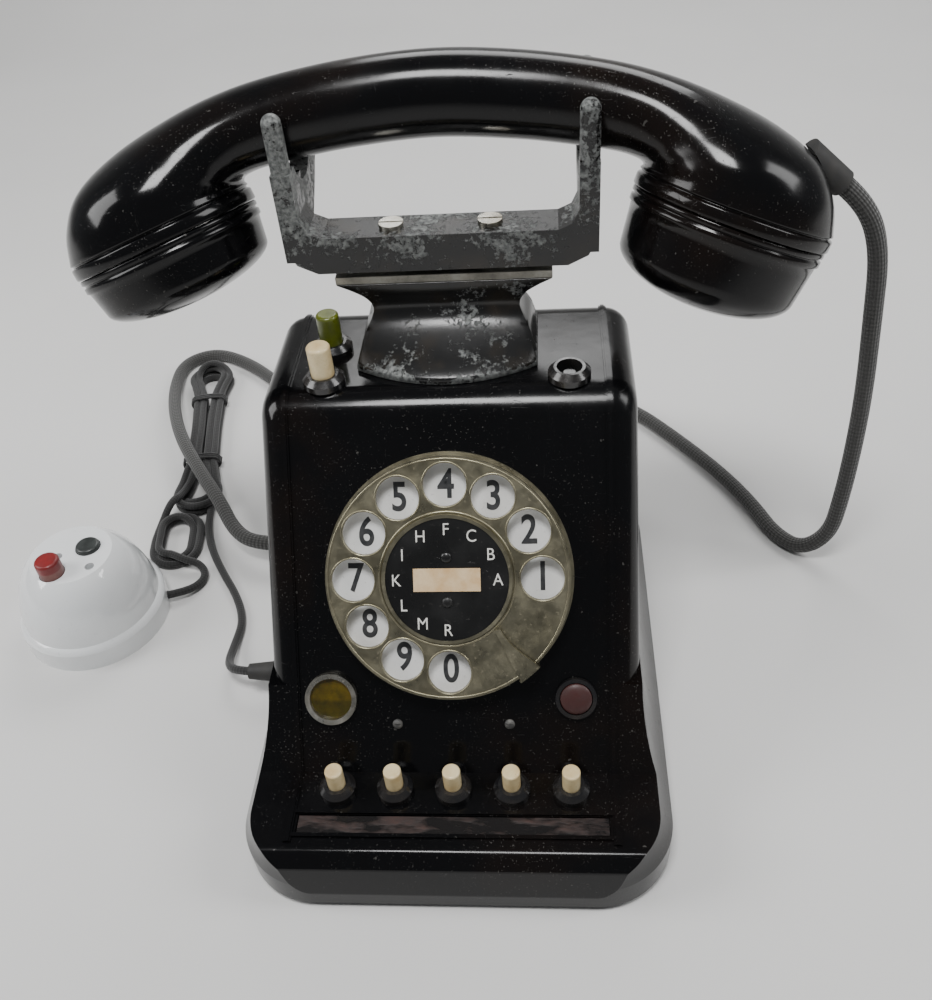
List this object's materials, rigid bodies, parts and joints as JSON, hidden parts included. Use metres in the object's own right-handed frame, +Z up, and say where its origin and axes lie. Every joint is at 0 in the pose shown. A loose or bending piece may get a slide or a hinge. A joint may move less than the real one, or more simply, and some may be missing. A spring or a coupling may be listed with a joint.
{
  "type": "rotary telephone",
  "caption": "Desk telephone with finger dial, line keys, lamp, deck knobs, cast fork cradle, lift-off handset, and a corded porcelain push-button box.",
  "frame": {"origin": "on the table, under the middle of the housing", "axes": "+X to the user's right, +Y to the back, +Z up"},
  "size_m": [0.3242, 0.3047, 0.2031],
  "materials": {
    "amber_lens": "amber, uneven",
    "bakelite": "polished, dusty, fine scratches",
    "black_cable": "thin black cable",
    "black_collar": "turned and polished",
    "black_disc": "scratched, white letters",
    "black_screw": "dusty round head",
    "brass_gong": "bell metal",
    "brown_button": "worn red-brown",
    "card": "aged card",
    "copper_coil": "varnished winding",
    "dark_plastic": "dark push button",
    "dial_nickel": "worn, yellowed nickel plate",
    "green_plastic": "olive green",
    "grey_braid": "braided cotton",
    "ivory": "aged ivory",
    "label": "worn brown strip",
    "nickel": "worn nickel plate",
    "pale_plate": "bare edge",
    "porcelain": "white glaze",
    "red_plastic": "red push button",
    "rubber_black": "aged rubber",
    "steel": "plain steel",
    "white_enamel": "enamel with black figures",
    "worn_cast_metal": "black paint flaked to grey cast metal"
  },
  "bodies": {
    "housing": {"base_feet": "rubber_black", "base_plate": "steel", "base_screws": "steel", "bell_gong_left": "brass_gong", "bell_gong_right": "brass_gong", "bell_magnet": "steel", "button_bushing": "black_collar", "cradle_pedestal": "worn_cast_metal", "deck_collars": "black_collar", "dial_case": "dial_nickel", "dial_frame": "steel", "face_screws": "black_screw", "finger_stop": "dial_nickel", "handset_cord": "grey_braid", "handset_cord_gland": "rubber_black", "hook_contacts": "steel", "housing_shell": "bakelite", "induction_coil": "copper_coil", "key_collars": "black_collar", "key_frame": "steel", "label_strip": "label", "lamp_bezel": "nickel", "lamp_lens": "amber_lens", "line_coil": "black_cable", "line_cord_gland": "rubber_black", "line_cord_lead": "black_cable", "line_cord_tail": "black_cable", "line_hank": "black_cable", "number_plate": "white_enamel", "pedestal_plate": "pale_plate", "terminal_strip": "dark_plastic", "wall_box_shell": "porcelain"},
    "cradle": {"cradle_fork": "worn_cast_metal", "cradle_screws": "nickel", "hook_plunger": "steel"},
    "hook_lever": {"hook_lever": "steel"},
    "dial": {"finger_wheel": "dial_nickel", "centre_disc": "black_disc", "centre_card": "card", "dial_shaft": "steel", "dial_gear": "steel"},
    "governor": {"governor_spindle": "steel"},
    "red_button": {"red_button": "brown_button"},
    "cream_knob": {"cream_knob": "ivory"},
    "green_knob": {"green_knob": "green_plastic"},
    "blank_plunger": {"blank_plunger": "black_collar"},
    "bell_clapper": {"bell_clapper": "steel"},
    "handset": {"handset_handle": "bakelite", "ear_cap": "bakelite", "mouth_cap": "bakelite", "receiver_capsule": "steel", "transmitter_capsule": "steel", "handset_cord_relief": "rubber_black"},
    "wall_button_red": {"wall_button_red": "red_plastic"},
    "wall_button_black": {"wall_button_black": "dark_plastic"},
    "key_1": {"key_1": "ivory"},
    "key_2": {"key_2": "ivory"},
    "key_3": {"key_3": "ivory"},
    "key_4": {"key_4": "ivory"},
    "key_5": {"key_5": "ivory"}
  },
  "joints": [
    {"name": "handset_lift", "type": "slide", "parent": "housing", "child": "handset", "axis": [0, 0, 1], "range_m": [0, 0.05], "deforming": ["handset_cord"]},
    {"name": "cradle_rise", "type": "slide", "parent": "housing", "child": "cradle", "axis": [0, 0, 1], "range_m": [0, 0.005]},
    {"name": "hook_lever_turn", "type": "hinge", "parent": "housing", "child": "hook_lever", "pos_m": [0, 0.028, 0.0962], "axis": [1, 0, 0], "range_deg": [0, 14]},
    {"name": "dial_turn", "type": "hinge", "parent": "housing", "child": "dial", "pos_m": [0, -0.02451, 0.07802], "axis": [0, 0.8131, -0.5821], "range_deg": [0, 320], "stiffness_Nm_per_rad": 0.006},
    {"name": "governor_spin", "type": "hinge", "parent": "housing", "child": "governor", "pos_m": [-0.02175, -0.01179, 0.05644], "axis": [0, 0.8131, -0.5821], "range_deg": [-1290, 5]},
    {"name": "red_button_press", "type": "slide", "parent": "housing", "child": "red_button", "axis": [0, 0.8131, -0.5821], "range_m": [0, 0.002], "stiffness_N_per_m": 300},
    {"name": "cream_knob_press", "type": "slide", "parent": "housing", "child": "cream_knob", "axis": [0, 0, -1], "range_m": [0, 0.003], "stiffness_N_per_m": 300},
    {"name": "green_knob_press", "type": "slide", "parent": "housing", "child": "green_knob", "axis": [0, 0, -1], "range_m": [0, 0.003], "stiffness_N_per_m": 300},
    {"name": "blank_plunger_press", "type": "slide", "parent": "housing", "child": "blank_plunger", "axis": [0, 0, -1], "range_m": [0, 0.0015], "stiffness_N_per_m": 300},
    {"name": "key_1_press", "type": "slide", "parent": "housing", "child": "key_1", "axis": [0, 0, -1], "range_m": [0, 0.0035], "stiffness_N_per_m": 300},
    {"name": "key_2_press", "type": "slide", "parent": "housing", "child": "key_2", "axis": [0, 0, -1], "range_m": [0, 0.0035], "stiffness_N_per_m": 300},
    {"name": "key_3_press", "type": "slide", "parent": "housing", "child": "key_3", "axis": [0, 0, -1], "range_m": [0, 0.0035], "stiffness_N_per_m": 300},
    {"name": "key_4_press", "type": "slide", "parent": "housing", "child": "key_4", "axis": [0, 0, -1], "range_m": [0, 0.0035], "stiffness_N_per_m": 300},
    {"name": "key_5_press", "type": "slide", "parent": "housing", "child": "key_5", "axis": [0, 0, -1], "range_m": [0, 0.0035], "stiffness_N_per_m": 300},
    {"name": "clapper_swing", "type": "hinge", "parent": "housing", "child": "bell_clapper", "pos_m": [0, 0.014, 0.026], "axis": [0, 0, 1], "range_deg": [-5, 5], "stiffness_Nm_per_rad": 0.002},
    {"name": "wall_button_red_press", "type": "slide", "parent": "housing", "child": "wall_button_red", "axis": [0, 0, -1], "range_m": [0, 0.003], "stiffness_N_per_m": 300},
    {"name": "wall_button_black_press", "type": "slide", "parent": "housing", "child": "wall_button_black", "axis": [0, 0, -1], "range_m": [0, 0.0014], "stiffness_N_per_m": 300}
  ],
  "couplings": [
    {"joint": "cradle_rise", "follows": "handset_lift", "ratio": 0.1},
    {"joint": "hook_lever_turn", "follows": "handset_lift", "rad_per_m": 4.8},
    {"joint": "governor_spin", "follows": "dial_turn", "ratio": -4}
  ]
}
